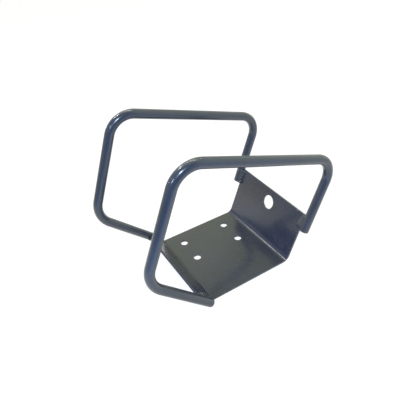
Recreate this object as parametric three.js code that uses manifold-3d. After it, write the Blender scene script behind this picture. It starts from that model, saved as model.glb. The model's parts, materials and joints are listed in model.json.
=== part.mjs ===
// Hoop-guard bracket: one folded steel plate with a round-bar hoop welded along each side.
// Millimetres, +Z up. The origin is the centre of the base's underside: X = 0 is the mid-plane
// between the two hoops, Y = 0 is halfway along the base, Z = 0 is the face it bolts down on.
// +Y points to the tall back flange, -Y to the short front lip, and left is -X.
import * as THREE from 'three';
import { mergeVertices } from 'three/addons/utils/BufferGeometryUtils.js';
import Module from 'manifold-3d';

// ---- driving dimensions ---------------------------------------------------------------
// Lengths "along" the back flange or the lip start at the sharp corner of its fold.
const BAR_D = 12.7;             // round bar of the hoops
const EDGE_GAP = 0.3;           // fit-up gap between plate edge and bar

const PLATE_T = 3.0;            // plate thickness
const PLATE_W = 139.7;          // plate width, along X
const BASE_L = 127.0;           // base, between the sharp corners of the folds' inner faces
const BACK_L = 76.2;            // back flange, along it to its top edge
const BACK_ANGLE = 68.5;        // back flange above the base's plane, degrees
const LIP_L = 27.2;             // front lip, along it to its edge
const LIP_ANGLE = 45.0;         // front lip above the base's plane, degrees
const BEND_R = 9.5;             // inside radius of both folds

const BOLT_HOLE_D = 10.6;       // four bolt holes in the base
const BOLT_PITCH_X = 38.1;
const BOLT_PITCH_Y = 73.0;
const BOLT_CENTRE_X = -28.1;    // the pattern sits off the mid-plane
const BOLT_CENTRE_Y = -1.7;
const CABLE_HOLE_D = 20.8;      // one large hole in the back flange, on the mid-plane
const CABLE_HOLE_UP = 55.9;     // its centre, along the back flange
const DRILL_L = 20;             // long enough to pass right through the plate

const HOOP_BACK_START = 52.8;   // lower end of the back leg, along the back flange
const HOOP_BACK_CORNER = 161.2; // sharp corner of back leg and top bar, along the same line
const HOOP_LIP_START = 7.4;     // rear end of the bottom leg, along the lip
const HOOP_LIP_CORNER = 123.5;  // sharp corner of bottom leg and front leg, along the same line
const HOOP_TOP_FRONT = [-98.8, 225.9]; // Y, Z of the sharp corner at the top front
const HOOP_R_BACK = 29.4;       // centre-line bend radii of the three corners
const HOOP_R_TOP = 29.9;
const HOOP_R_BOTTOM = 36.7;

const WELD_REACH = 4.3;         // weld toe on the plate face, in from the plate's edge
const WELD_TOE_ON_BAR = 54;     // weld toe on the bar, degrees round from the plate's plane
const WELD_GAP = 0.15;          // clearance that keeps the weld metal a solid of its own
const WELD_CROWN = 0.9;         // rise of the weld face above the chord between its toes
const PILL_R = 6.2;             // pill shape that rounds off a weld's ends
const PILL_OVERRUN = 0.4;       // pill tip beyond each end of the weld
const PILL_INSET = 0.6;         // pill axis, in from the plate's edge

const BAR_SIDES = 28;           // facets round the bar
const FOLD_STEPS = 10;          // facets in each plate fold
const HOOP_STEPS = 11;          // facets in each hoop corner
const BOLT_HOLE_SIDES = 32;
const CABLE_HOLE_SIDES = 48;
const WELD_FACE_STEPS = 6;      // facets across the weld's crowned face
const WELD_BAR_STEPS = 5;       // facets where the weld follows the bar
const PILL_CAP_STEPS = 6;
const PILL_SIDES = 24;

const HOOP_X = PLATE_W / 2 + EDGE_GAP + BAR_D / 2; // hoop centre line from the mid-plane

// ---- materials ------------------------------------------------------------------------
const paint = (color, roughness) =>
  new THREE.MeshStandardMaterial({ color, roughness, metalness: 0 });
const platePaint = paint(0x3f4648, 0.42);
const barPaint = paint(0x35435c, 0.28);
const weldPaint = paint(0x3a4456, 0.38);

// ---- solids and meshes ----------------------------------------------------------------
const wasm = await Module();
wasm.setup();

// Turns a closed three.js geometry into a solid, placed by the matrix.
function toSolid(geometry, matrix = new THREE.Matrix4()) {
  geometry.applyMatrix4(matrix);
  // Normals and UVs would keep coincident vertices apart.
  geometry.deleteAttribute('normal');
  geometry.deleteAttribute('uv');
  const merged = mergeVertices(geometry, 1e-4);
  return new wasm.Manifold(new wasm.Mesh({
    numProp: 3,
    vertProperties: new Float32Array(merged.attributes.position.array),
    triVerts: new Uint32Array(merged.index.array),
  }));
}

function toMesh(name, solid, material) {
  const { vertProperties, triVerts } = solid.getMesh();
  const geometry = new THREE.BufferGeometry();
  const positions = new Float32Array(vertProperties);
  geometry.setAttribute('position', new THREE.BufferAttribute(positions, 3));
  geometry.setIndex(new THREE.BufferAttribute(new Uint32Array(triVerts), 1));
  geometry.computeVertexNormals();
  const mesh = new THREE.Mesh(geometry, material);
  mesh.name = name;
  return mesh;
}

function extrude(section, depth, matrix) {
  const options = { depth, bevelEnabled: false, steps: 1 };
  return toSolid(new THREE.ExtrudeGeometry(section, options), matrix);
}

// Places a solid built along +Y so that it lies along the given unit axis.
function alongAxis(centre, axis) {
  const turn = new THREE.Quaternion().setFromUnitVectors(new THREE.Vector3(0, 1, 0), axis);
  return new THREE.Matrix4().compose(centre, turn, new THREE.Vector3(1, 1, 1));
}

// ---- side-view geometry: each Vector2 holds (Y, Z) --------------------------------------
const rad = THREE.MathUtils.degToRad;
const ORIGIN = new THREE.Vector2();
const toSpace = (point, x = 0) => new THREE.Vector3(x, point.x, point.y);

// Signed angle from one direction to another.
const angleBetween = (from, to) => Math.atan2(from.cross(to), from.dot(to));

// The frame of a folded-up end of the plate; end is +1 for the back, -1 for the front.
function makeFlange(end, angleDegrees) {
  const angle = rad(angleDegrees);
  const outerCornerY = BASE_L / 2 + PLATE_T * Math.tan(angle / 2);
  return {
    corner: new THREE.Vector2(end * BASE_L / 2, PLATE_T), // sharp corner of the inner faces
    outerCorner: new THREE.Vector2(end * outerCornerY, 0),
    dir: new THREE.Vector2(end * Math.cos(angle), Math.sin(angle)),
    normal: new THREE.Vector2(-end * Math.sin(angle), Math.cos(angle)), // into the tray
    toBase: new THREE.Vector2(-end, 0),
  };
}
const back = makeFlange(1, BACK_ANGLE);
const lip = makeFlange(-1, LIP_ANGLE);

// A point along a flange, the given depth below its inner face.
const onFlange = ({ corner, dir, normal }, along, depth) =>
  corner.clone().addScaledVector(dir, along).addScaledVector(normal, -depth);
const onMidPlane = (flange, along) => onFlange(flange, along, PLATE_T / 2);

// Points of an arc tangent to both arms of a sharp corner.
function filletPoints(corner, armA, armB, radius, steps) {
  const half = Math.acos(THREE.MathUtils.clamp(armA.dot(armB), -1, 1)) / 2;
  const tangentLength = radius / Math.tan(half);
  const bisector = armA.clone().add(armB).normalize();
  const centre = corner.clone().addScaledVector(bisector, radius / Math.sin(half));
  const start = corner.clone().addScaledVector(armA, tangentLength).sub(centre);
  const end = corner.clone().addScaledVector(armB, tangentLength).sub(centre);
  const sweep = angleBetween(start, end);
  return Array.from({ length: steps + 1 }, (_, i) =>
    start.clone().rotateAround(ORIGIN, sweep * i / steps).add(centre));
}

// ---- the plate ------------------------------------------------------------------------
// Inner faces from lip edge to back edge, then outer faces in return.
function plateProfile() {
  const outerR = BEND_R + PLATE_T;
  return new THREE.Shape([
    onFlange(lip, LIP_L, 0),
    ...filletPoints(lip.corner, lip.dir, lip.toBase, BEND_R, FOLD_STEPS),
    ...filletPoints(back.corner, back.toBase, back.dir, BEND_R, FOLD_STEPS),
    onFlange(back, BACK_L, 0),
    onFlange(back, BACK_L, PLATE_T),
    ...filletPoints(back.outerCorner, back.dir, back.toBase, outerR, FOLD_STEPS),
    ...filletPoints(lip.outerCorner, lip.toBase, lip.dir, outerR, FOLD_STEPS),
    onFlange(lip, LIP_L, PLATE_T),
  ]);
}

function drill(diameter, centre, axis, sides) {
  const cylinder = new THREE.CylinderGeometry(diameter / 2, diameter / 2, DRILL_L, sides);
  return toSolid(cylinder, alongAxis(centre, axis));
}

function basePlate() {
  // The profile's own X, Y and the extrusion direction become Y, Z and X.
  const place = new THREE.Matrix4().makeBasis(
    new THREE.Vector3(0, 1, 0),
    new THREE.Vector3(0, 0, 1),
    new THREE.Vector3(1, 0, 0),
  ).setPosition(-PLATE_W / 2, 0, 0);
  let plate = extrude(plateProfile(), PLATE_W, place);

  const up = new THREE.Vector3(0, 0, 1);
  for (const sideX of [-1, 1]) {
    for (const sideY of [-1, 1]) {
      const centre = new THREE.Vector3(
        BOLT_CENTRE_X + sideX * BOLT_PITCH_X / 2,
        BOLT_CENTRE_Y + sideY * BOLT_PITCH_Y / 2,
        PLATE_T / 2,
      );
      plate = plate.subtract(drill(BOLT_HOLE_D, centre, up, BOLT_HOLE_SIDES));
    }
  }

  const cableCentre = toSpace(onMidPlane(back, CABLE_HOLE_UP));
  plate = plate.subtract(
    drill(CABLE_HOLE_D, cableCentre, toSpace(back.normal), CABLE_HOLE_SIDES));
  return toMesh('base_plate', plate, platePaint);
}

// ---- the hoops ------------------------------------------------------------------------
// Centre line: back leg on the back flange's mid-plane, bottom leg on the lip's.
const hoopEnds = [onMidPlane(back, HOOP_BACK_START), onMidPlane(lip, HOOP_LIP_START)];
const hoopBends = [
  { corner: onMidPlane(back, HOOP_BACK_CORNER), radius: HOOP_R_BACK },
  { corner: new THREE.Vector2(...HOOP_TOP_FRONT), radius: HOOP_R_TOP },
  { corner: onMidPlane(lip, HOOP_LIP_CORNER), radius: HOOP_R_BOTTOM },
];

// A bent bar's centre line: one station at each end, and one at each facet of each corner.
// Only the stations are sampled, so that the straights stay free of extra facets.
class BentBarPath extends THREE.Curve {
  constructor([start, end], bends, x) {
    super();
    this.stations = [];
    const addStation = (point, tangent) => this.stations.push({
      point: toSpace(point, x),
      tangent: toSpace(tangent).normalize(),
    });
    const corners = [start, ...bends.map((bend) => bend.corner), end];

    addStation(start, corners[1].clone().sub(start));
    bends.forEach(({ corner, radius }, i) => {
      const armIn = corners[i].clone().sub(corner).normalize();
      const armOut = corners[i + 2].clone().sub(corner).normalize();
      const heading = armIn.clone().negate();
      const turn = angleBetween(heading, armOut);
      filletPoints(corner, armIn, armOut, radius, HOOP_STEPS).forEach((point, step) =>
        addStation(point, heading.clone().rotateAround(ORIGIN, turn * step / HOOP_STEPS)));
    });
    addStation(end, end.clone().sub(corners.at(-2)));
    this.count = this.stations.length - 1;
  }

  stationAt(fraction) {
    return this.stations[Math.round(fraction * this.count)];
  }

  getPointAt(fraction, target = new THREE.Vector3()) {
    return target.copy(this.stationAt(fraction).point);
  }

  getTangentAt(fraction, target = new THREE.Vector3()) {
    return target.copy(this.stationAt(fraction).tangent);
  }
}

function barSection() {
  return new THREE.Shape(Array.from({ length: BAR_SIDES }, (_, i) => {
    const angle = 2 * Math.PI * (i + 0.5) / BAR_SIDES;
    return new THREE.Vector2(Math.cos(angle), Math.sin(angle)).multiplyScalar(BAR_D / 2);
  }));
}

function hoop(label, side) {
  const path = new BentBarPath(hoopEnds, hoopBends, side * HOOP_X);
  const options = { steps: path.count, extrudePath: path, bevelEnabled: false };
  const solid = toSolid(new THREE.ExtrudeGeometry(barSection(), options));
  return toMesh(`${label}_hoop`, solid, barPaint);
}

// ---- the welds ------------------------------------------------------------------------
// Each plate edge meets its bar in two grooves, one on each face of the plate.
// side: -1 or +1 along X. face: +1 on the inside of the tray, -1 on the outside.

// Bead section in X and height off the plate's mid-plane: from a toe on the plate face,
// over a slightly crowned face, to a toe on the bar, then down round the bar.
function beadSection(side, face) {
  const barR = BAR_D / 2 + WELD_GAP;
  const floor = PLATE_T / 2 + WELD_GAP;
  const onBar = (degrees) => new THREE.Vector2(
    HOOP_X - barR * Math.cos(rad(degrees)), barR * Math.sin(rad(degrees)));

  const plateToe = new THREE.Vector2(PLATE_W / 2 - WELD_REACH, floor);
  const chord = onBar(WELD_TOE_ON_BAR).sub(plateToe);
  const outward = new THREE.Vector2(-chord.y, chord.x).normalize();
  const points = [];
  for (let i = 0; i <= WELD_FACE_STEPS; i++) {
    const t = i / WELD_FACE_STEPS;
    const rise = WELD_CROWN * 4 * t * (1 - t);
    points.push(plateToe.clone().addScaledVector(chord, t).addScaledVector(outward, rise));
  }
  const lowest = THREE.MathUtils.radToDeg(Math.asin(floor / barR));
  for (let i = 1; i <= WELD_BAR_STEPS; i++) {
    points.push(onBar(WELD_TOE_ON_BAR + (lowest - WELD_TOE_ON_BAR) * i / WELD_BAR_STEPS));
  }
  return new THREE.Shape(points.map(({ x, y }) => new THREE.Vector2(side * x, face * y)));
}

function bead(name, side, face, { flange, start, end }) {
  const length = end - start;
  const along = toSpace(flange.dir);
  const across = new THREE.Vector3(1, 0, 0);
  const up = toSpace(flange.normal);
  // The extrusion may run up or down the flange, so it begins at whichever end suits.
  const run = new THREE.Vector3().crossVectors(across, up);
  const origin = toSpace(onMidPlane(flange, run.dot(along) > 0 ? start : end));
  const place = new THREE.Matrix4().makeBasis(across, up, run).setPosition(origin);
  const squareEnded = extrude(beadSection(side, face), length, place);

  // Rounded run-on and run-off: a pill-shaped envelope round the groove.
  const pillX = side * (PLATE_W / 2 - PILL_INSET);
  const pillCentre = toSpace(onMidPlane(flange, (start + end) / 2), pillX);
  const straight = length + 2 * (PILL_OVERRUN - PILL_R);
  const pill = toSolid(
    new THREE.CapsuleGeometry(PILL_R, straight, PILL_CAP_STEPS, PILL_SIDES),
    alongAxis(pillCentre, along));
  return toMesh(name, squareEnded.intersect(pill), weldPaint);
}

// Each weld stops just short of the bar's end and of the plate's edge.
const weldRuns = {
  back: { flange: back, start: HOOP_BACK_START + 1.0, end: BACK_L - 1.2 },
  lip: { flange: lip, start: HOOP_LIP_START + 0.8, end: LIP_L - 1.0 },
};

// ---- assembly -------------------------------------------------------------------------
const sides = Object.entries({ left: -1, right: 1 });
const faces = Object.entries({ inner: 1, outer: -1 });

const assembly = new THREE.Group();
assembly.add(basePlate());
for (const [label, side] of sides) assembly.add(hoop(label, side));
for (const [label, side] of sides) {
  for (const [where, face] of faces) {
    for (const [place, run] of Object.entries(weldRuns)) {
      assembly.add(bead(`weld_${place}_${label}_${where}`, side, face, run));
    }
  }
}

export default assembly;
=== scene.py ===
"""A folded steel tray guarded by two bent round-bar hoops, all in dark slate-blue enamel.

The tray is one plate: a flat base, a steep back flange at +Y and a short sloping lip at -Y.
A hoop stands at each side, in a plane of constant X, welded to the edges of flange and lip.
X = 0 is the mid-plane, +Y runs to the back flange, Z is up and the base's underside is Z = 0.
"""
import json
import math
from collections import namedtuple

import bpy
import numpy as np
from mathutils import Vector, Matrix
from mathutils.geometry import delaunay_2d_cdt

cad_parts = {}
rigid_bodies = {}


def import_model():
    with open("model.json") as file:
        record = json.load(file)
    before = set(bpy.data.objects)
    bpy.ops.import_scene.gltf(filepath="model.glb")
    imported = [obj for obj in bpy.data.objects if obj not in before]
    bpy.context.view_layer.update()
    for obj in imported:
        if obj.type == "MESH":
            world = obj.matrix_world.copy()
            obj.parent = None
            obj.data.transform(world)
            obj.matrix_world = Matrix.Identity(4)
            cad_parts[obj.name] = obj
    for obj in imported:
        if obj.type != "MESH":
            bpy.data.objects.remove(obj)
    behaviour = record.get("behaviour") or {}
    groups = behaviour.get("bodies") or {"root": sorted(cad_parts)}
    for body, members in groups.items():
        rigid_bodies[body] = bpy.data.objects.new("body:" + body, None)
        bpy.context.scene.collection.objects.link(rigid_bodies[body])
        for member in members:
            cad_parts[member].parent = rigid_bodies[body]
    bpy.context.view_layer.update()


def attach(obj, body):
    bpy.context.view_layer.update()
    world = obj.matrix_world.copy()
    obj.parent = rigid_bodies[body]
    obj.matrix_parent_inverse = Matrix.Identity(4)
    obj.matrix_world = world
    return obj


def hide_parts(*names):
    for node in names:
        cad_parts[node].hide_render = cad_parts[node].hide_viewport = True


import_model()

scene = bpy.context.scene
MM = 0.001

# ---------------------------------------------------------------------------------------
# Driving dimensions, in millimetres
# ---------------------------------------------------------------------------------------
BAR_D = 12.7
BAR_R = BAR_D / 2
THICK = 3.0
WIDTH = 139.7                             # of the plate, along X
BASE_L = 127.0                            # between the two folds' inner corners
BACK_L = 76.2
BACK_ANGLE = math.radians(68.5)
LIP_L = 27.2
LIP_ANGLE = math.radians(45.0)
BEND_R = 9.5                              # inside the folds
EDGE_R = 0.45                             # rounding of the plate's edges
CORNER_R = 1.6                            # rounding of the blank's four corners

BOLT_D = 10.6
BOLT_PITCH_X, BOLT_PITCH_Y = 38.1, 73.0
BOLT_CENTRE_X, BOLT_CENTRE_Y = -28.1, -1.7
CABLE_D = 20.8                            # the hole in the back flange
CABLE_UP = 55.9                           # from the fold's inner corner

# hoop ends and corners, as distances up the flange each lies along
HOOP_BACK_START, HOOP_BACK_CORNER = 52.8, 161.2
HOOP_LIP_START, HOOP_LIP_CORNER = 7.4, 123.5
HOOP_TOP_FRONT = np.array([-98.8, 225.9])            # (y, z)
HOOP_RADII = (29.4, 29.9, 36.7)           # back corner, top front, lip corner
EDGE_GAP = 0.3                            # between the plate's side and the bar
HOOP_X = WIDTH / 2 + EDGE_GAP + BAR_R

# fit-up: the hoops lean a touch out of step, the back flange's edge is a touch off square
TWIST = math.radians(-1.2)
SWAY_CENTRE = np.array([-6.5, 23.0])                 # (y, z)
OFF_SQUARE = math.radians(1.2)
EDGE_TRIM, TRIM_DEPTH = 0.6, 7.0          # cut off the edge, spread over this much flange

# Directions and normals are (y, z); each normal points into the tray.
Flange = namedtuple("Flange", "name corner direction normal")
BACK = Flange("back", np.array([BASE_L / 2, THICK]),
              np.array([math.cos(BACK_ANGLE), math.sin(BACK_ANGLE)]),
              np.array([-math.sin(BACK_ANGLE), math.cos(BACK_ANGLE)]))
LIP = Flange("lip", np.array([-BASE_L / 2, THICK]),
             np.array([-math.cos(LIP_ANGLE), math.sin(LIP_ANGLE)]),
             np.array([math.sin(LIP_ANGLE), math.cos(LIP_ANGLE)]))
SIDES = ((-1, "left"), (1, "right"))


# ---------------------------------------------------------------------------------------
# Mesh and vector helpers
# ---------------------------------------------------------------------------------------
def make_mesh(name, verts, faces, material, replaced, normals=None):
    mesh = bpy.data.meshes.new(name)
    mesh.from_pydata(np.asarray(verts, float).tolist(), [], [list(map(int, f)) for f in faces])
    mesh.update()
    mesh.polygons.foreach_set("use_smooth", [True] * len(mesh.polygons))
    if normals is not None:
        mesh.normals_split_custom_set_from_vertices(np.asarray(normals, float).tolist())
    ob = bpy.data.objects.new(name, mesh)
    scene.collection.objects.link(ob)
    mesh.materials.append(material)
    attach(ob, "root")
    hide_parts(replaced)


def unit(v):
    v = np.asarray(v, float)
    return v / np.linalg.norm(v, axis=-1, keepdims=True) if False else (
        v / np.linalg.norm(v, axis=-1, keepdims=True))


def rotation(angle):
    return np.array([[math.cos(angle), -math.sin(angle)], [math.sin(angle), math.cos(angle)]])


def value_noise(seed, count=512):
    """A smooth, repeatable 1-D wander in -1..1, for uneven weld toes and the like."""
    table = np.random.RandomState(seed).uniform(-1, 1, count)

    def wander(x):
        x = np.asarray(x, float)
        i = np.floor(x).astype(int)
        blend = x - i
        blend = blend * blend * (3 - 2 * blend)
        return table[i % count] * (1 - blend) + table[(i + 1) % count] * blend
    return wander


# ---------------------------------------------------------------------------------------
# Shader helper
# ---------------------------------------------------------------------------------------
class Shader:
    """Fills an owner's node tree; a value may be a number, a tuple or another node's output."""

    def __init__(self, owner):
        owner.use_nodes = True
        self.tree = owner.node_tree
        self.tree.nodes.clear()

    def feed(self, socket, value):
        if isinstance(value, bpy.types.NodeSocket):
            self.tree.links.new(value, socket)
        elif socket.type == "RGBA":
            socket.default_value = (*value, 1.0)
        else:
            socket.default_value = value

    def node(self, kind, inputs=None, **settings):
        made = self.tree.nodes.new(kind)
        for key, value in settings.items():
            setattr(made, key, value)
        for key, value in (inputs or {}).items():
            self.feed(made.inputs[key], value)
        return made

    def coordinates(self, space):
        return self.node("ShaderNodeTexCoord").outputs[space]

    def camera_ray(self):
        return self.node("ShaderNodeLightPath").outputs["Is Camera Ray"]

    def noise(self, vector, scale, detail=3.0, roughness=0.5):
        inputs = {"Vector": vector, "Scale": scale, "Detail": detail, "Roughness": roughness}
        return self.node("ShaderNodeTexNoise", inputs).outputs["Fac"]

    def remap(self, value, over, to, kind="LINEAR"):
        inputs = {"Value": value, "From Min": over[0], "From Max": over[1],
                  "To Min": to[0], "To Max": to[1]}
        return self.node("ShaderNodeMapRange", inputs, interpolation_type=kind).outputs["Result"]

    def math(self, operation, a, b):
        return self.node("ShaderNodeMath", {0: a, 1: b}, operation=operation).outputs[0]

    def product(self, first, *factors):
        for factor in factors:
            first = self.math("MULTIPLY", first, factor)
        return first

    def measure(self, operation, *vectors):
        """A vector operation that gives a number."""
        made = self.node("ShaderNodeVectorMath", dict(enumerate(vectors)), operation=operation)
        return made.outputs["Value"]

    def toward(self, vector, direction, over, to=(0.0, 1.0)):
        """A smooth step in how far the vector reaches in a direction."""
        return self.remap(self.measure("DOT_PRODUCT", vector, direction), over, to, "SMOOTHSTEP")

    def mix(self, factor, a, b, blend="MIX"):
        made = self.node("ShaderNodeMix", {"Factor": factor}, data_type="RGBA", blend_type=blend)
        colours = [s for s in made.inputs if s.type == "RGBA"]
        for socket, value in zip(colours, (a, b)):
            self.feed(socket, value)
        return [s for s in made.outputs if s.type == "RGBA"][0]


# ---------------------------------------------------------------------------------------
# Enamel
# ---------------------------------------------------------------------------------------
RUBBED = (0.16, 0.17, 0.18)               # paint worn on the edges
DUST = (0.20, 0.21, 0.22)


def paint(name, base, rough, peel, spread, coat, coat_rough,
          wear=0.35, crevice_shade=0.6, specular=0.5, streak=None):
    """Glossy enamel. peel scales its relief, spread its colour variation, wear the rubbed edges and
    cavity the painted shade that darkens its crevices; streak is a stretch per axis for faint
    rolling lines."""
    material = bpy.data.materials.new(name)
    sh = Shader(material)
    place = sh.coordinates("Object")

    # colour: film build varies softly over centimetres and faintly over millimetres
    broad = sh.remap(sh.noise(place, scale=28.0, roughness=0.55),
                     over=(0.3, 0.7), to=(1.0 - spread, 1.0 + spread))
    fine = sh.remap(sh.noise(place, scale=240.0, detail=2.0, roughness=0.6),
                    over=(0.25, 0.75), to=(1.0 - spread * 0.35, 1.0 + spread * 0.35))
    vary = sh.product(broad, fine)
    grey = sh.node("ShaderNodeCombineColor", {"Red": vary, "Green": vary, "Blue": vary})
    colour = sh.mix(1.0, base, grey.outputs["Color"], "MULTIPLY")

    # pale settled dust in a scatter of tiny specks
    cells = sh.node("ShaderNodeTexVoronoi", {"Scale": 150.0, "Vector": place}, feature="F1")
    speck = sh.remap(cells.outputs["Distance"], over=(0.035, 0.060), to=(1.0, 0.0))
    chosen = sh.math("GREATER_THAN", sh.noise(place, scale=90.0, detail=1.0), 0.60)
    speck = sh.product(speck, chosen, 0.28)
    colour = sh.mix(speck, colour, DUST)

    # paint thins and rubs on outside edges
    bevel = sh.node("ShaderNodeBevel", {"Radius": 0.0009}, samples=6)
    normal = sh.node("ShaderNodeNewGeometry").outputs["Normal"]
    edge = sh.remap(sh.measure("DOT_PRODUCT", bevel.outputs["Normal"], normal),
                    over=(0.995, 0.93), to=(0.0, 1.0))
    openness = sh.node("ShaderNodeAmbientOcclusion", {"Distance": 0.006},
                       samples=6, inside=False).outputs["AO"]
    rub = sh.remap(sh.noise(place, scale=160.0, detail=4.0, roughness=0.65),
                   over=(0.46, 0.62), to=(0.0, 1.0))
    convex = sh.remap(openness, over=(0.80, 0.98), to=(0.0, 1.0))
    worn = sh.product(edge, rub, convex, wear)
    colour = sh.mix(worn, colour, RUBBED)

    # and sits darker in the crevices: painted shade, an ambient-occlusion mask that darkens the
    # colour where shade would fall
    painted_crevice_shade = sh.remap(openness, over=(0.25, 0.95), to=(crevice_shade, 0.0))
    colour = sh.mix(painted_crevice_shade, colour, (base[0] * 0.30, base[1] * 0.30, base[2] * 0.32))

    def dulled(gloss, by_speck, by_wear, by_crevice_shade):
        for mask, amount in ((speck, by_speck), (worn, by_wear), (painted_crevice_shade, by_crevice_shade)):
            gloss = sh.math("ADD", gloss, sh.product(mask, amount))
        return gloss

    roughness = sh.remap(sh.noise(place, scale=55.0, detail=4.0, roughness=0.6),
                         over=(0.3, 0.7), to=(rough * 0.86, rough * 1.16))
    roughness = dulled(roughness, by_speck=0.8, by_wear=0.25, by_crevice_shade=0.18)
    # the zero is how much of the paint's own roughness carries into the coat
    coat_gloss = sh.math("ADD", sh.product(roughness, 0.0), coat_rough)
    coat_gloss = dulled(coat_gloss, by_speck=0.6, by_wear=0.2, by_crevice_shade=0.15)

    # relief as (height, strength, depth in metres): orange peel, the rolled surface, fine grain
    relief = [
        (sh.noise(place, scale=420.0, detail=1.5, roughness=0.4), 1.0, 0.00006 * peel),
        (sh.noise(place, scale=70.0, roughness=0.55), 1.0, 0.00022 * peel),
        (sh.noise(place, scale=2600.0, detail=1.0), 0.5, 0.000006),
    ]
    if streak:
        stretched = sh.node("ShaderNodeMapping", {"Scale": streak, "Vector": place})
        lines = sh.noise(stretched.outputs["Vector"], scale=1.0, roughness=0.6)
        relief.append((lines, 0.6, 0.00002))
    below = {}
    for height, strength, depth in relief:
        bump = sh.node("ShaderNodeBump", {"Height": height, "Strength": strength,
                                          "Distance": depth, **below})
        below = {"Normal": bump.outputs["Normal"]}

    surface = sh.node("ShaderNodeBsdfPrincipled", {
        "Base Color": colour, "Roughness": roughness, "IOR": 1.52,
        "Specular IOR Level": specular, "Coat Weight": coat, "Coat Roughness": coat_gloss,
        "Coat IOR": 1.5, "Normal": below["Normal"], "Coat Normal": below["Normal"]})
    sh.node("ShaderNodeOutputMaterial", {"Surface": surface.outputs["BSDF"]})
    return material


PLATE_PAINT = paint("plate_enamel", base=(0.024, 0.029, 0.053), rough=0.27, peel=0.55,
                    spread=0.08, coat=0.5, coat_rough=0.11, wear=0.12,
                    streak=(30.0, 400.0, 400.0))
BAR_PAINT = paint("bar_enamel", base=(0.034, 0.041, 0.057), rough=0.34, peel=0.20,
                  spread=0.09, specular=0.25, coat=0.75, coat_rough=0.15)
WELD_PAINT = paint("weld_enamel", base=(0.033, 0.039, 0.050), rough=0.40, peel=0.7,
                   spread=0.14, specular=0.3, coat=0.42, coat_rough=0.26, crevice_shade=0.75,
                   wear=0.25)

# ---------------------------------------------------------------------------------------
# The plate: a flat blank with rounded edges and holes, wrapped round its two folds.
# On the blank, x is the row's X, s runs from the lip's edge to the back flange's edge and
# t from the inner face to the outer one.
# ---------------------------------------------------------------------------------------
LIP_SETBACK = BEND_R * math.tan(LIP_ANGLE / 2)       # from inner corner to where the fold starts
BACK_SETBACK = BEND_R * math.tan(BACK_ANGLE / 2)
S_LIP_EDGE = 0.0
S_LIP_FOLD = LIP_L - LIP_SETBACK
S_BASE = S_LIP_FOLD + BEND_R * LIP_ANGLE
S_BACK_FOLD = S_BASE + BASE_L - LIP_SETBACK - BACK_SETBACK
S_BACK = S_BACK_FOLD + BEND_R * BACK_ANGLE
S_BACK_EDGE = S_BACK + BACK_L - BACK_SETBACK
LIP_FOLD_CENTRE = np.array([-BASE_L / 2 + LIP_SETBACK, THICK + BEND_R])
BACK_FOLD_CENTRE = np.array([BASE_L / 2 - BACK_SETBACK, THICK + BEND_R])

CORNER_STEPS, EDGE_STEPS = 6, 5
BOLT_SEGMENTS, CABLE_SEGMENTS = 72, 108


def wrap(stations):
    """Inner-face points and normals away from the tray at blank stations, both as (y, z)."""
    points, normals = np.zeros((len(stations), 2)), np.zeros((len(stations), 2))
    for i, s in enumerate(stations):
        if s < S_LIP_FOLD:
            points[i] = LIP.corner + LIP.direction * (LIP_L - s)
            normals[i] = -LIP.normal
        elif s < S_BASE:
            angle = LIP_ANGLE * (1 - (s - S_LIP_FOLD) / (S_BASE - S_LIP_FOLD))
            normals[i] = (-math.sin(angle), -math.cos(angle))
            points[i] = LIP_FOLD_CENTRE + normals[i] * BEND_R
        elif s < S_BACK_FOLD:
            points[i] = (-BASE_L / 2 + LIP_SETBACK + (s - S_BASE), THICK)
            normals[i] = (0, -1)
        elif s < S_BACK:
            angle = BACK_ANGLE * (s - S_BACK_FOLD) / (S_BACK - S_BACK_FOLD)
            normals[i] = (math.sin(angle), -math.cos(angle))
            points[i] = BACK_FOLD_CENTRE + normals[i] * BEND_R
        else:
            points[i] = BACK.corner + BACK.direction * (BACK_SETBACK + s - S_BACK)
            normals[i] = -BACK.normal
    return points, normals


def fold_up(x, s, t, normal_x, normal_s, normal_t):
    """Blank points and their normals, carried to the row frame."""
    inner, out = wrap(s)
    yz = inner + out * t[:, None]
    along = np.column_stack([-out[:, 1], out[:, 0]])     # direction of growing s
    normals = np.column_stack([normal_x,
                               along[:, 0] * normal_s + out[:, 0] * normal_t,
                               along[:, 1] * normal_s + out[:, 1] * normal_t])
    return np.column_stack([x, yz[:, 0], yz[:, 1]]), unit(normals)


def blank_outline():
    """Anticlockwise outline rows (x, s, inward normal x, s), and index pairs of fold lines."""
    levels = np.unique(np.concatenate([
        np.linspace(S_LIP_EDGE, S_LIP_FOLD, 7), np.linspace(S_LIP_FOLD, S_BASE, 25),
        np.linspace(S_BASE, S_BACK_FOLD, 13), np.linspace(S_BACK_FOLD, S_BACK, 33),
        np.linspace(S_BACK, S_BACK_EDGE, 9)]).round(6))
    low, high = S_LIP_EDGE + CORNER_R, S_BACK_EDGE - CORNER_R
    side_levels = [s for s in levels if low < s < high]
    corner_x = WIDTH / 2 - CORNER_R

    def corner(x, s, start):
        rows = []
        for k in range(CORNER_STEPS + 1):
            angle = start + math.pi / 2 * k / CORNER_STEPS
            cos, sin = math.cos(angle), math.sin(angle)
            rows.append((x + CORNER_R * cos, s + CORNER_R * sin, -cos, -sin))
        return rows

    outline = corner(corner_x, low, -math.pi / 2)
    right_first = len(outline)
    outline += [(WIDTH / 2, s, -1.0, 0.0) for s in side_levels]
    outline += corner(corner_x, high, 0.0)
    outline += corner(-corner_x, high, math.pi / 2)
    outline += [(-WIDTH / 2, s, 1.0, 0.0) for s in side_levels[::-1]]
    left_last = len(outline) - 1
    outline += corner(-corner_x, low, math.pi)

    # lines across the lip and both folds keep their facets straight
    fold_lines = [(right_first + i, left_last - i) for i, s in enumerate(side_levels)
                  if not S_BASE + 0.01 < s < S_BACK_FOLD - 0.01 and not s > S_BACK + 0.01]
    return np.array(outline), fold_lines


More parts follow.
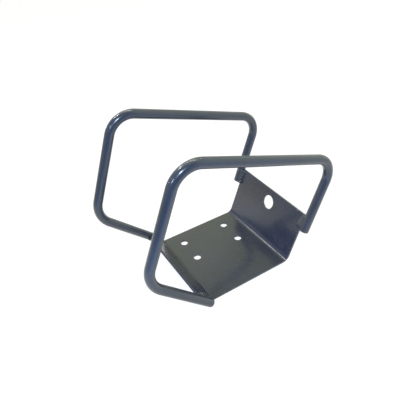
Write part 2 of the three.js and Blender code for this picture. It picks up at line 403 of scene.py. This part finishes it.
def blank_holes():
    """Holes as (x, s, radius, segments): four in the base, one in the back flange."""
    flat_mid_s = (S_BASE + S_BACK_FOLD) / 2
    flat_mid_y = (-BASE_L / 2 + LIP_SETBACK + BASE_L / 2 - BACK_SETBACK) / 2
    holes = [(BOLT_CENTRE_X + i * BOLT_PITCH_X / 2,
              flat_mid_s + (BOLT_CENTRE_Y + j * BOLT_PITCH_Y / 2) - flat_mid_y,
              BOLT_D / 2, BOLT_SEGMENTS)
             for i in (-1, 1) for j in (-1, 1)]
    holes.append((0.0, S_BACK + CABLE_UP - BACK_SETBACK, CABLE_D / 2, CABLE_SEGMENTS))
    return holes


def edge_section():
    """The rounded edge from inner face to outer, as (inset, t, outward part, t part)."""
    half = []
    for k in range(EDGE_STEPS + 1):
        sin = math.sin(math.pi / 2 * k / EDGE_STEPS)
        cos = math.cos(math.pi / 2 * k / EDGE_STEPS)
        half.append((EDGE_R * (1 - sin), EDGE_R * (1 - cos), sin, -cos))
    return half + [(inset, THICK - t, out, -part) for inset, t, out, part in half[::-1]]


def broad_faces(points, edges, holes):
    """Triangles over the blank between its outline and its holes, wound anticlockwise."""
    flat, _, triangles, origins, _, _ = delaunay_2d_cdt(
        [Vector(p) for p in points], edges, [], 0, 1e-7)
    assert len(flat) == len(points)
    kept = []
    for face in triangles:
        corners = [flat[i] for i in face]
        x = sum(c[0] for c in corners) / len(face)
        s = sum(c[1] for c in corners) / len(face)
        if any(math.hypot(x - hole_x, s - hole_s) < r for hole_x, hole_s, r, _ in holes):
            continue
        if abs(x) > WIDTH / 2 or not S_LIP_EDGE < s < S_BACK_EDGE:
            continue
        area = sum(p[0] * q[1] - q[0] * p[1] for p, q in zip(corners, corners[1:] + corners[:1]))
        ordered = list(face) if area > 0 else list(face)[::-1]
        kept.append([origins[i][0] for i in ordered])
    return kept


def orient(verts, faces, normals):
    """Face winding that agrees with the given vertex normals."""
    for size in sorted({len(f) for f in faces}):
        chosen = [i for i, f in enumerate(faces) if len(f) == size]
        table = np.array([faces[i] for i in chosen])
        points, wanted = verts[table], normals[table].sum(1)
        turned = np.cross(points, np.roll(points, -1, axis=1)).sum(1)
        for i, agrees in zip(chosen, (turned * wanted).sum(1) >= 0):
            if not agrees:
                faces[i] = faces[i][::-1]
    return faces


def build_plate():
    outline, edges = blank_outline()
    holes = blank_holes()
    loops = [outline]
    for x, s, radius, count in holes:
        angle = -2 * math.pi * np.arange(count) / count  # clockwise: the metal stays on the left
        cos, sin = np.cos(angle), np.sin(angle)
        loops.append(np.column_stack([x + radius * cos, s + radius * sin, cos, sin]))

    section = edge_section()
    rows, faces = [], []                                 # rows are (x, s, t, normal x, s, t)
    points, inner_ids, outer_ids, loop_edges = [], [], [], []
    for loop in loops:
        count, base, first = len(loop), len(rows), len(points)
        for inset, t, out, part in section:
            for x, s, in_x, in_s in loop:
                rows.append((x + in_x * inset, s + in_s * inset, t, -in_x * out, -in_s * out, part))
        for k in range(len(section) - 1):
            for i in range(count):
                a, b = base + k * count + i, base + k * count + (i + 1) % count
                faces.append((a, a + count, b + count, b))
        for i in range(count):
            points.append(rows[base + i][:2])
            inner_ids.append(base + i)
            outer_ids.append(base + (len(section) - 1) * count + i)
            loop_edges.append((first + i, first + (i + 1) % count))
    for face in broad_faces(points, loop_edges + edges, holes):
        faces.append(tuple(inner_ids[i] for i in face))
        faces.append(tuple(outer_ids[i] for i in face[::-1]))

    x, s, t, normal_x, normal_s, normal_t = np.array(rows).T
    trim_part = np.clip((s - (S_BACK_EDGE - TRIM_DEPTH)) / TRIM_DEPTH, 0, 1)
    s = s - (EDGE_TRIM + x * math.tan(OFF_SQUARE)) * trim_part
    verts, normals = fold_up(x, s, t, normal_x, normal_s, normal_t)
    verts = verts * MM
    make_mesh("plate", verts, orient(verts, faces, normals), PLATE_PAINT,
              "base_plate", normals)


build_plate()

# ---------------------------------------------------------------------------------------
# The hoops: round bar with three bends and softened ends
# ---------------------------------------------------------------------------------------
BAR_SEGMENTS = 72
BEND_STEPS = 44
STRAIGHT_STEP = 4.0                       # mm between stations on the straights
END_R, END_STEPS = 0.7, 5                 # rounding of the bar's ends
END_RINGS = (0.6, 0.25)                   # circles on an end face, as parts of its radius
BEND_SQUEEZE, BEND_SPREAD = 0.022, 0.012  # a bend thins the bar in its plane and widens it across


def mid_plane(flange, along):
    """(y, z) at a distance up a flange, half-way through its thickness."""
    return flange.corner + flange.direction * along - flange.normal * THICK / 2


HOOP_CORNERS = [
    mid_plane(BACK, HOOP_BACK_START),
    mid_plane(BACK, HOOP_BACK_CORNER),
    HOOP_TOP_FRONT,
    mid_plane(LIP, HOOP_LIP_CORNER),
    mid_plane(LIP, HOOP_LIP_START),
]


def lean(side):
    """The rotation of one hoop by its own small lean."""
    return rotation(TWIST * side / 2)


def sway(side, point):
    return SWAY_CENTRE + lean(side) @ (point - SWAY_CENTRE)


def off_plane(side, flange, along):
    """How far the leaning bar stands from a flange's mid-plane."""
    point = mid_plane(flange, along)
    return float((sway(side, point) - point) @ flange.normal)


def centre_line():
    """Stations from the back flange to the lip: (point, tangent, how far into a bend, 0 to 1)."""
    stations = []
    start = HOOP_CORNERS[0]
    for i, radius in enumerate(HOOP_RADII, 1):
        corner = HOOP_CORNERS[i]
        back = unit(HOOP_CORNERS[i - 1] - corner)
        ahead = unit(HOOP_CORNERS[i + 1] - corner)
        half = math.acos(np.clip(back @ ahead, -1, 1)) / 2
        setback = radius / math.tan(half)
        centre = corner + unit(back + ahead) * radius / math.sin(half)
        end = corner + back * setback
        count = max(3, int(np.linalg.norm(end - start) / STRAIGHT_STEP))
        for k in range(count):
            stations.append((start + (end - start) * k / count, -back, 0.0))
        swing = math.pi - 2 * half
        if back[1] * ahead[0] - back[0] * ahead[1] <= 0:
            swing = -swing
        for k in range(BEND_STEPS):
            turned = rotation(swing * k / BEND_STEPS)
            stations.append((centre + turned @ (end - centre), turned @ -back,
                             math.sin(math.pi * k / BEND_STEPS) ** 0.7))
        start = corner + ahead * setback
    end = HOOP_CORNERS[-1]
    count = int(np.linalg.norm(end - start) / STRAIGHT_STEP)
    for k in range(count + 1):
        stations.append((start + (end - start) * k / count, unit(end - start), 0.0))
    return stations


def build_hoop(side):
    """Vertices and faces of one hoop."""
    stations = []                                        # (point, tangent, normal, bend)
    for point, tangent, bend in centre_line():
        normal = np.array([tangent[1], -tangent[0]])
        stations.append((sway(side, point), lean(side) @ tangent, lean(side) @ normal, bend))
    verts, faces = [], []

    def ring(centre, normal, in_plane, across):
        first = len(verts)
        for angle in 2 * math.pi * np.arange(BAR_SEGMENTS) / BAR_SEGMENTS:
            cos, sin = math.cos(angle), math.sin(angle)
            verts.append((side * HOOP_X + across * sin,
                          centre[0] + normal[0] * in_plane * cos,
                          centre[1] + normal[1] * in_plane * cos))
        return first

    def end_ring(station, angle, inward):
        point, tangent, normal, _ = station
        radius = BAR_R - END_R * (1 - math.sin(angle))
        shift = inward * END_R * (1 - math.cos(angle))
        return ring(point + tangent * shift, normal, radius, radius)

    steps = range(END_STEPS + 1)
    rings = [end_ring(stations[0], math.pi / 2 * q / END_STEPS, 1) for q in steps]
    rings += [ring(point, normal, BAR_R * (1 - BEND_SQUEEZE * bend),
                   BAR_R * (1 + BEND_SPREAD * bend))
              for point, _, normal, bend in stations[1:-1]]
    rings += [end_ring(stations[-1], math.pi / 2 * (1 - q / END_STEPS), -1) for q in steps]

    def band(a, b):
        for i in range(BAR_SEGMENTS):
            j = (i + 1) % BAR_SEGMENTS
            faces.append((a + i, b + i, b + j, a + j))

    for a, b in zip(rings[:-1], rings[1:]):
        band(a, b)
    end_starts = []
    for outer, (point, _, normal, _) in ((rings[0], stations[0]), (rings[-1], stations[-1])):
        end_starts.append(len(faces))
        for part in END_RINGS:
            radius = (BAR_R - END_R) * part
            inner = ring(point, normal, radius, radius)
            band(outer, inner)
            outer = inner
        middle = len(verts)
        verts.append((side * HOOP_X, point[0], point[1]))
        for i in range(BAR_SEGMENTS):
            faces.append((middle, outer + i, outer + (i + 1) % BAR_SEGMENTS))
        # the fan winds the same way as the bands around it
        faces[-BAR_SEGMENTS:] = [f[::-1] for f in faces[-BAR_SEGMENTS:]]
    verts = np.array(verts)

    def settle(first, last, outward):
        """Turn a run of faces over if its first one looks inward."""
        corners = verts[list(faces[first])]
        if np.cross(corners, np.roll(corners, -1, axis=0)).sum(0) @ outward < 0:
            faces[first:last] = [f[::-1] for f in faces[first:last]]

    (first_point, first_tangent, _, _), (_, last_tangent, _, _) = stations[0], stations[-1]
    settle(0, end_starts[0],
           verts[list(faces[0])].mean(0) - np.array([side * HOOP_X, *first_point]))
    settle(end_starts[0], end_starts[1], np.array([0, *-first_tangent]))
    settle(end_starts[1], len(faces), np.array([0, *last_tangent]))
    return verts * MM, faces


for side, side_name in SIDES:
    hoop_verts, hoop_faces = build_hoop(side)
    make_mesh(f"guard_hoop_{side_name}", hoop_verts, hoop_faces, BAR_PAINT,
              f"{side_name}_hoop")

# ---------------------------------------------------------------------------------------
# The welds: hand-laid beads with their ripples, filling the groove between plate edge and bar
# ---------------------------------------------------------------------------------------
BEAD_STEPS_ALONG, BEAD_STEPS_ACROSS = 150, 26
RIPPLE_PITCH = 2.6
RUN_ON = 3.4                              # length of a bead's rounded start and finish

# Where one bead differs from the next, by (flange, side, face).
# Each lump is (distance up the flange, part of the bead's width, radius, height).
BEADS = {
    ("lip", 1, 1): dict(
        reach=7.0, crown=1.0, ripple=0.28, wander=0.8, toe_degrees=60.0,
        lumps=((25.2, 0.45, 1.5, 1.3), (21.0, 0.50, 1.4, 1.5),
               (17.2, 0.30, 1.3, 1.1), (14.0, 0.55, 1.6, 0.9))),
    ("lip", -1, 1): dict(reach=5.0, crown=0.9, ripple=0.2, wander=0.4),
    ("back", 1, 1): dict(
        reach=6.6, crown=0.55, ripple=0.10, wander=0.4, taper=0.34, toe_degrees=76.0,
        lumps=((56.2, 0.14, 1.7, 1.3), (70.0, 0.5, 2.5, 0.3))),
    ("back", -1, 1): dict(
        reach=6.0, crown=1.2, ripple=0.34, wander=0.7,
        lumps=((55.8, 0.4, 2.0, 1.8), (62.5, 0.5, 1.6, 1.0), (67.5, 0.45, 1.5, 0.9))),
}


def bead_points(start, end, seed, offset, reach, toe_degrees, crown, ripple, wander, taper,
                lumps):
    """Rows (x, height off the mid-plane, distance up the flange): the top, then the underside."""
    toe_noise, angle_noise, crown_noise = (value_noise(seed + k) for k in (0, 50, 90))
    length = end - start
    lap = 1.0 if np.random.RandomState(seed + 7).rand() > 0.5 else -1.0
    u = np.arange(BEAD_STEPS_ALONG + 1)[:, None] / BEAD_STEPS_ALONG
    v = np.arange(BEAD_STEPS_ACROSS + 1)[None, :] / BEAD_STEPS_ACROSS
    s = start + length * u
    # rounded run-on and run-off
    near_end = np.minimum(1.0, np.minimum(u, 1 - u) * length / RUN_ON)
    full = np.maximum(np.sqrt(np.maximum(0.0, 1 - (1 - near_end) ** 2)), 0.02)

    # a chord from the toe on the plate to the toe on the bar; taper widens the bead's start
    toe_reach = ((reach + wander * toe_noise(s / 2.1)) * (0.35 + 0.65 * full)
                 * (1 + taper * (1 - 2 * u)))
    toe_angle = np.radians((toe_degrees + 5.0 * angle_noise(s / 2.4)) * (0.5 + 0.5 * full))
    x_plate, h_plate = WIDTH / 2 - toe_reach, THICK / 2
    x_bar, h_bar = HOOP_X - BAR_R * np.cos(toe_angle), offset + BAR_R * np.sin(toe_angle)
    chord_x, chord_h = x_bar - x_plate, h_bar - h_plate
    chord = np.hypot(chord_x, chord_h)

    lift = (crown + 0.25 * crown_noise(s / 3.0)) * 4 * v * (1 - v) * full
    # crescent ripples, each lapping the one before
    phase = s * lap / RIPPLE_PITCH + 0.9 * (2 * v - 1) ** 2 + 0.12 * toe_noise(s / 4.0)
    phase = phase - np.floor(phase)
    wave = ripple * np.maximum(0.0, 1 - (2 * phase - 1) ** 2) ** 0.6 - 0.57 * ripple
    lift = lift + wave * (1 - (2 * v - 1) ** 4) * full - 0.25 * (1 - full)
    # blobs where the arc was held or restarted
    for lump_s, lump_v, lump_r, lump_h in lumps:
        distance2 = ((s - lump_s) ** 2 + ((v - lump_v) * chord) ** 2) / lump_r ** 2
        lift = lift + lump_h * np.exp(-distance2) * (1 - (2 * v - 1) ** 6)
    lift = np.where((v == 0) | (v == 1), -0.5, lift)     # toes end just under the surface

    x = x_plate + chord_x * v - chord_h / chord * lift
    h = h_plate + chord_h * v + chord_x / chord * lift
    s = s + 0 * v
    depth = 0.9 + 1.6 * 4 * v * (1 - v)
    top = np.stack([x, h, s], -1).reshape(-1, 3)
    under = np.stack([x + 0.2, h - depth * 0.8, s], -1).reshape(-1, 3)   # in plate and bar
    return np.vstack([top, under])


def bead_faces():
    """Quads that close the top and the underside into one shell."""
    row = BEAD_STEPS_ACROSS + 1
    under = (BEAD_STEPS_ALONG + 1) * row
    faces = []
    for i in range(BEAD_STEPS_ALONG):
        for j in range(BEAD_STEPS_ACROSS):
            a = i * row + j
            faces.append((a, a + 1, a + 1 + row, a + row))
            faces.append((under + a, under + a + row, under + a + 1 + row, under + a + 1))
        a, b = i * row, i * row + BEAD_STEPS_ACROSS
        faces.append((a, a + row, under + a + row, under + a))
        faces.append((b, under + b, under + b + row, b + row))
    for j in range(BEAD_STEPS_ACROSS):
        a, b = j, BEAD_STEPS_ALONG * row + j
        faces.append((a, under + a, under + a + 1, a + 1))
        faces.append((b, b + 1, under + b + 1, under + b))
    return faces


def build_bead(side, face, flange, start, end, seed, offset, reach=4.3, toe_degrees=54.0,
               crown=1.15, ripple=0.30, wander=0.55, taper=0.0, lumps=()):
    """One bead; face is 1 inside the tray and -1 outside, offset the bar's along the normal."""
    points = bead_points(start, end, seed, face * offset, reach, toe_degrees, crown, ripple,
                         wander, taper, lumps)
    yz = (flange.corner + points[:, 2:3] * flange.direction
          + (-THICK / 2 + face * points[:, 1:2]) * flange.normal)
    verts = np.column_stack([side * points[:, 0], yz])
    faces = bead_faces()
    # one face's winding, in the middle of the top, decides the whole shell
    row = BEAD_STEPS_ACROSS + 1
    middle = (BEAD_STEPS_ALONG // 2) * row + BEAD_STEPS_ACROSS // 2
    normal = np.cross(verts[middle + 1] - verts[middle], verts[middle + row] - verts[middle])
    if normal @ np.array([-0.3 * side, *(flange.normal * face)]) < 0:
        faces = [f[::-1] for f in faces]
    return verts * MM, faces


seed = 11
for side, side_name in SIDES:
    for face, face_name in ((1, "inner"), (-1, "outer")):
        back_end = BACK_L - 1.2 - side * WIDTH / 2 * math.tan(OFF_SQUARE)
        lip_end = LIP_L - (6.0 if (side, face) == (-1, 1) else 0.5)
        # flange, start, end and where the bar's offset is taken, as distances up the flange
        runs = ((BACK, HOOP_BACK_START + 0.4, back_end, 64.0),
                (LIP, HOOP_LIP_START + 0.3, lip_end, 17.0))
        for i, (flange, start, end, offset_at) in enumerate(runs):
            bead_verts, quads = build_bead(
                side, face, flange, start, end, seed + i,
                offset=off_plane(side, flange, offset_at),
                **BEADS.get((flange.name, side, face), {}))
            place = f"{flange.name}_{side_name}_{face_name}"
            make_mesh(f"bead_{place}", bead_verts, quads, WELD_PAINT,
                      f"weld_{place}")
        seed += 5

# ---------------------------------------------------------------------------------------
# Floor: a pale sheet, partly lit from below. Lengths from here on are in metres.
# ---------------------------------------------------------------------------------------
FLOOR_HALF, FLOOR_Z = 4.0, -0.0003
FLOOR_GLOW = 1.20                         # emission strength
FLOOR_SHARE = 0.75                        # emission's part, against diffuse
FLOOR_SEEN = 0.96                         # level in the camera's own view
WHITE = (1.0, 1.0, 1.0)
WARM = (1.0, 0.99, 0.90)                  # the floor's cast on the paint
WARMER = (1.04, 0.98, 0.58)               # its cast towards -X, -Y
COOL = (0.92, 1.25, 2.05)                 # its cast on the open side
OPEN_SIDE = (0.867, -0.498, 0.0)          # where the camera stands


def floor_material():
    """The sheet dims and takes a tint by place, in everything but the camera's own view."""
    material = bpy.data.materials.new("pale_floor")
    sh = Shader(material)
    place = sh.coordinates("Object")
    tone = sh.mix(sh.noise(place, scale=6.0, detail=2.0), (0.90, 0.90, 0.90), (0.92, 0.92, 0.92))

    open_side = sh.toward(place, OPEN_SIDE, over=(0.30, 0.75), to=(1.0, 0.30))
    far_out = sh.remap(sh.measure("LENGTH", place),
                       over=(0.32, 0.80), to=(1.0, 0.55), kind="SMOOTHSTEP")
    behind = sh.toward(place, (-0.6, 0.8, 0.0), over=(0.25, 0.75), to=(1.0, 0.62))
    # a darker patch below the front of the right hoop: a painted shadow of the bar, outside the
    # camera's own view, since the floor's glow casts none
    painted_bar_shadow = sh.remap(sh.measure("DISTANCE", place, (0.088, -0.100, 0.0)),
                         over=(0.02, 0.085), to=(0.68, 1.0), kind="SMOOTHSTEP")
    # brighter towards +X, +Y
    beyond = sh.toward(place, (0.577, 0.817, 0.0), over=(0.45, 0.90), to=(1.0, 2.1))
    level = sh.product(open_side, far_out, behind, painted_bar_shadow, beyond)
    # what the camera sees is held just at white, so that edges against it stay true
    level = sh.node("ShaderNodeMix", {"Factor": sh.camera_ray(), "A": level,
                                      "B": FLOOR_SEEN}).outputs["Result"]

    warmth = sh.toward(place, (-0.75, -0.66, 0.0), over=(0.14, 0.50))
    coolness = sh.toward(place, OPEN_SIDE, over=(0.19, 0.37))
    tint = sh.mix(coolness, sh.mix(warmth, WARM, WARMER), COOL)
    tint = sh.mix(sh.camera_ray(), tint, WHITE)
    tinted = sh.node("ShaderNodeVectorMath", {0: tone, 1: tint}, operation="MULTIPLY")
    dimmed = sh.node("ShaderNodeVectorMath", {0: tinted.outputs["Vector"], "Scale": level},
                     operation="SCALE")
    diffuse = sh.node("ShaderNodeBsdfDiffuse", {"Color": dimmed.outputs["Vector"]})
    emission = sh.node("ShaderNodeEmission", {"Color": tint,
                                              "Strength": sh.product(level, FLOOR_GLOW)})
    both = sh.node("ShaderNodeMixShader", {0: FLOOR_SHARE, 1: diffuse.outputs[0],
                                           2: emission.outputs[0]})
    sh.node("ShaderNodeOutputMaterial", {"Surface": both.outputs[0]})
    return material


def build_floor():
    mesh = bpy.data.meshes.new("floor")
    corners = ((-1, -1), (1, -1), (1, 1), (-1, 1))
    mesh.from_pydata([(x * FLOOR_HALF, y * FLOOR_HALF, FLOOR_Z) for x, y in corners],
                     [], [(0, 1, 2, 3)])
    mesh.update()
    floor = bpy.data.objects.new("floor", mesh)
    mesh.materials.append(floor_material())
    scene.collection.objects.link(floor)


build_floor()

# ---------------------------------------------------------------------------------------
# World: pale walls and ceiling, dim on the camera's side, plain white to the camera itself
# ---------------------------------------------------------------------------------------
WALLS = (0.78, 0.81, 0.42)
# Laid over the walls in turn: direction, the cosines over which the patch fades in, colour
WALL_PATCHES = (
    ((0.6, 0.8, 0.0), (-0.2, 0.8), (1.15, 1.20, 0.98)),               # the +X, +Y half
    ((-0.50, -0.86, 0.10), (0.35, 0.75), (0.62, 0.66, 0.76)),         # towards -X, -Y
    ((-0.731, 0.295, 0.616), (0.965, 0.997), (1.30, 1.34, 0.86)),     # small glow, high at -X
    ((-0.70, 0.69, 0.157), (0.978, 0.992), (0.20, 0.21, 0.20)),       # small dark, low at -X, +Y
    ((0.700, -0.402, 0.590), (0.40, 0.80), (0.12, 0.15, 0.26)),       # the camera's side
)


def build_world():
    world = bpy.data.worlds.new("studio")
    scene.world = world
    sh = Shader(world)
    way = sh.coordinates("Generated")
    walls = WALLS
    for direction, fade, colour in WALL_PATCHES:
        walls = sh.mix(sh.toward(way, direction, over=fade), walls, colour)
    seen = sh.mix(sh.camera_ray(), walls, WHITE)
    background = sh.node("ShaderNodeBackground", {"Color": seen, "Strength": 1.0})
    sh.node("ShaderNodeOutputWorld", {"Surface": background.outputs["Background"]})


build_world()

# ---------------------------------------------------------------------------------------
# Lamps
# ---------------------------------------------------------------------------------------
LAMP_TARGET = Vector((0.0, -0.02, 0.11))
PANEL_TARGET = Vector((0.0, -0.02, 0.15))
TUBE_WHITE = (1.0, 1.0, 0.97)
PANEL_WHITE = (0.96, 1.0, 0.97)


def direction_to(azimuth, elevation):
    """Unit direction from angles in radians; azimuth runs from -Y towards +X."""
    return Vector((math.sin(azimuth) * math.cos(elevation),
                   -math.cos(azimuth) * math.cos(elevation), math.sin(elevation)))


def area_light(name, length, width, radiance, color, location, turn):
    """A rectangular lamp, set by how bright its face is."""
    data = bpy.data.lights.new(name, "AREA")
    data.shape = "RECTANGLE"
    data.size, data.size_y = length, width
    data.energy = radiance * math.pi * data.size * data.size_y
    data.color = color
    light = bpy.data.objects.new(name, data)
    light.location = location
    light.rotation_mode = "QUATERNION"
    light.rotation_quaternion = turn
    scene.collection.objects.link(light)
    return light


def axes_turn(x, z):
    """The rotation that gives a lamp these long and backward axes."""
    y = z.cross(x)
    return Matrix(((x.x, y.x, z.x), (x.y, y.y, z.y), (x.z, y.z, z.z))).to_quaternion()


def square_lamp(name, azimuth, elevation, distance, size, radiance, color):
    d = direction_to(math.radians(azimuth), math.radians(elevation))
    area_light(name, size, size, radiance, color, LAMP_TARGET + d * distance,
               (-d).to_track_quat("-Z", "Y"))


def tube_lamp(name, azimuth, elevation, distance, length, width, radiance, shift):
    """An oblong lamp with its long side along X."""
    d = direction_to(math.radians(azimuth), math.radians(elevation))
    z = d.normalized()
    x = (Vector((1, 0, 0)) - z * z.x).normalized()
    area_light(name, length, width, radiance, TUBE_WHITE,
               LAMP_TARGET + d * distance + Vector(shift), axes_turn(x, z))


def panel_lamp(name, start, end, width, radiance, receivers):
    """A long overhead lamp between two points, facing the object and lighting only some of it."""
    start, end = Vector(start), Vector(end)
    x = (end - start).normalized()
    z = (start + end) / 2 - PANEL_TARGET
    z = (z - x * z.dot(x)).normalized()
    light = area_light(name, (end - start).length, width, radiance, PANEL_WHITE,
                       (start + end) / 2, axes_turn(x, z))
    light.light_linking.receiver_collection = receivers


square_lamp("lamp_camera_side", azimuth=57, elevation=47, distance=1.3, size=0.25,
            radiance=55.0, color=(0.60, 0.77, 1.0))
square_lamp("lamp_camera_halo", azimuth=55, elevation=47, distance=1.36, size=0.46,
            radiance=4.0, color=(0.55, 0.75, 1.0))
square_lamp("lamp_front", azimuth=22, elevation=31, distance=1.3, size=0.14,
            radiance=60.0, color=(0.67, 0.79, 1.0))
tube_lamp("ceiling_tube", azimuth=-66, elevation=51, distance=1.3, length=0.26, width=0.03,
          radiance=100.0, shift=(0.09, 0, 0))
tube_lamp("ceiling_tube_far", azimuth=-66, elevation=53, distance=1.3, length=0.20, width=0.04,
          radiance=22.0, shift=(-0.16, 0.03, 0))

# the panels are flagged off the sheet metal, as a card between lamp and plate would do
rods = bpy.data.collections.new("lit_by_panels")
for ob in scene.objects:
    if ob.name.startswith(("guard_hoop", "bead")):
        rods.objects.link(ob)
panel_lamp("ceiling_panel_left", start=(-1.55, -0.60, 1.35), end=(-1.45, 0.12, 1.35),
           width=0.32, radiance=4.0, receivers=rods)
panel_lamp("ceiling_panel_back", start=(-1.42, 0.18, 1.35), end=(-0.18, 0.52, 1.40),
           width=0.32, radiance=4.2, receivers=rods)

# ---------------------------------------------------------------------------------------
# Camera: above the +X, -Y side, looking down at the tray
# ---------------------------------------------------------------------------------------
CAMERA_AZIMUTH = math.radians(60.5140)
CAMERA_ELEVATION = math.radians(36.3252)
CAMERA_ROLL = math.radians(-4.0682)
CAMERA_PLACE = Vector((0.3837364, -0.2490962, 0.4338197))
SENSOR_WIDTH, FOCAL_LENGTH = 36.0, 37.62936          # mm


def build_camera():
    z = direction_to(CAMERA_AZIMUTH, CAMERA_ELEVATION)
    level_x = Vector((0, 0, 1)).cross(z).normalized()
    level_y = z.cross(level_x)
    x = level_x * math.cos(CAMERA_ROLL) + level_y * math.sin(CAMERA_ROLL)
    y = -level_x * math.sin(CAMERA_ROLL) + level_y * math.cos(CAMERA_ROLL)
    data = bpy.data.cameras.new("camera")
    data.sensor_fit = "HORIZONTAL"
    data.sensor_width = SENSOR_WIDTH
    data.lens = FOCAL_LENGTH
    data.clip_start, data.clip_end = 0.01, 20.0
    camera = bpy.data.objects.new("camera", data)
    rows = [(x[i], y[i], z[i], CAMERA_PLACE[i]) for i in range(3)]
    camera.matrix_world = Matrix((*rows, (0, 0, 0, 1)))
    scene.collection.objects.link(camera)
    scene.camera = camera


build_camera()

scene.view_settings.view_transform = "Standard"
scene.view_settings.look = "None"
scene.view_settings.exposure = 0.0
scene.view_settings.gamma = 1.0

bpy.context.view_layer.update()
